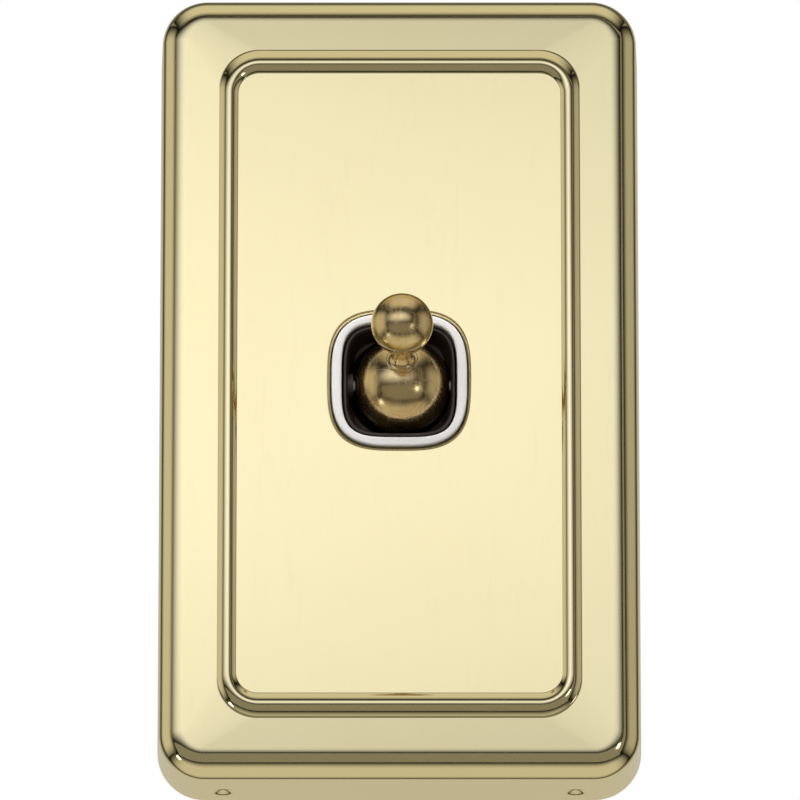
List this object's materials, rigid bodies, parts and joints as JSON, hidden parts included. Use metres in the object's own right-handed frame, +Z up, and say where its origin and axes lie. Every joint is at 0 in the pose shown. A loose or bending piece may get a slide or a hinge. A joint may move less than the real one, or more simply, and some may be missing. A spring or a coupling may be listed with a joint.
{
  "type": "toggle wall switch",
  "caption": "Two-way toggle wall switch: pressed brass cover with a raised bead round its panel, ball toggle in a white collar, clipped over a moulded frame with the mechanism behind.",
  "frame": {"origin": "centre of the plate on the wall plane, on the toggle's centreline", "axes": "+Z up the wall, along the plate's long side; +Y into the wall; +X to the right as seen from the room"},
  "size_m": [0.07, 0.0482, 0.1174],
  "materials": {
    "polished_brass": "mirror-polished and lacquered, pale",
    "turned_brass": "turned, softly polished, finely scratched",
    "contact_brass": "stamped, dull",
    "silver": "satin silver contact tip",
    "steel": "zinc-plated, satin",
    "white_plastic": "moulded, semi-gloss",
    "black_plastic": "moulded phenolic, satin"
  },
  "bodies": {
    "housing": {"cover_plate": "polished_brass", "mounting_frame": "white_plastic", "frame_screw_top": "steel", "frame_screw_bottom": "steel", "housing_screw_1": "steel", "housing_screw_2": "steel", "housing_screw_3": "steel", "housing_screw_4": "steel", "front_housing": "white_plastic", "ball_socket": "black_plastic", "pivot_pin": "steel", "rear_housing": "black_plastic", "common_terminal": "contact_brass", "upper_terminal": "contact_brass", "lower_terminal": "contact_brass", "loop_terminal": "contact_brass", "fixed_tip_upper": "silver", "fixed_tip_lower": "silver", "terminal_screw_upper": "steel", "terminal_screw_lower": "steel", "terminal_screw_common": "steel", "terminal_screw_loop": "steel", "mech_clip_right": "steel", "mech_clip_left": "steel"},
    "toggle": {"toggle_ball": "turned_brass", "toggle_knob": "turned_brass", "toggle_tail": "contact_brass", "plunger_spring": "steel"},
    "plunger": {"plunger": "steel"},
    "rocker": {"rocker_contact": "contact_brass", "rocker_tip_upper": "silver", "rocker_tip_lower": "silver"}
  },
  "joints": [
    {"name": "toggle_pivot", "type": "hinge", "parent": "housing", "child": "toggle", "pos_m": [0, -0.0121, 0], "axis": [1, 0, 0], "range_deg": [0, 40]},
    {"name": "plunger_slide", "type": "slide", "parent": "toggle", "child": "plunger", "axis": [0, -0.9397, 0.342], "range_m": [0, 0.0012], "stiffness_N_per_m": 300, "springref_m": -0.001, "deforming": ["plunger_spring"]},
    {"name": "rocker_tilt", "type": "hinge", "parent": "housing", "child": "rocker", "pos_m": [0, 0.004, 0], "axis": [1, 0, 0], "range_deg": [-16, 0]}
  ],
  "couplings": [
    {"joint": "rocker_tilt", "follows": "toggle_pivot", "ratio": -0.4}
  ]
}
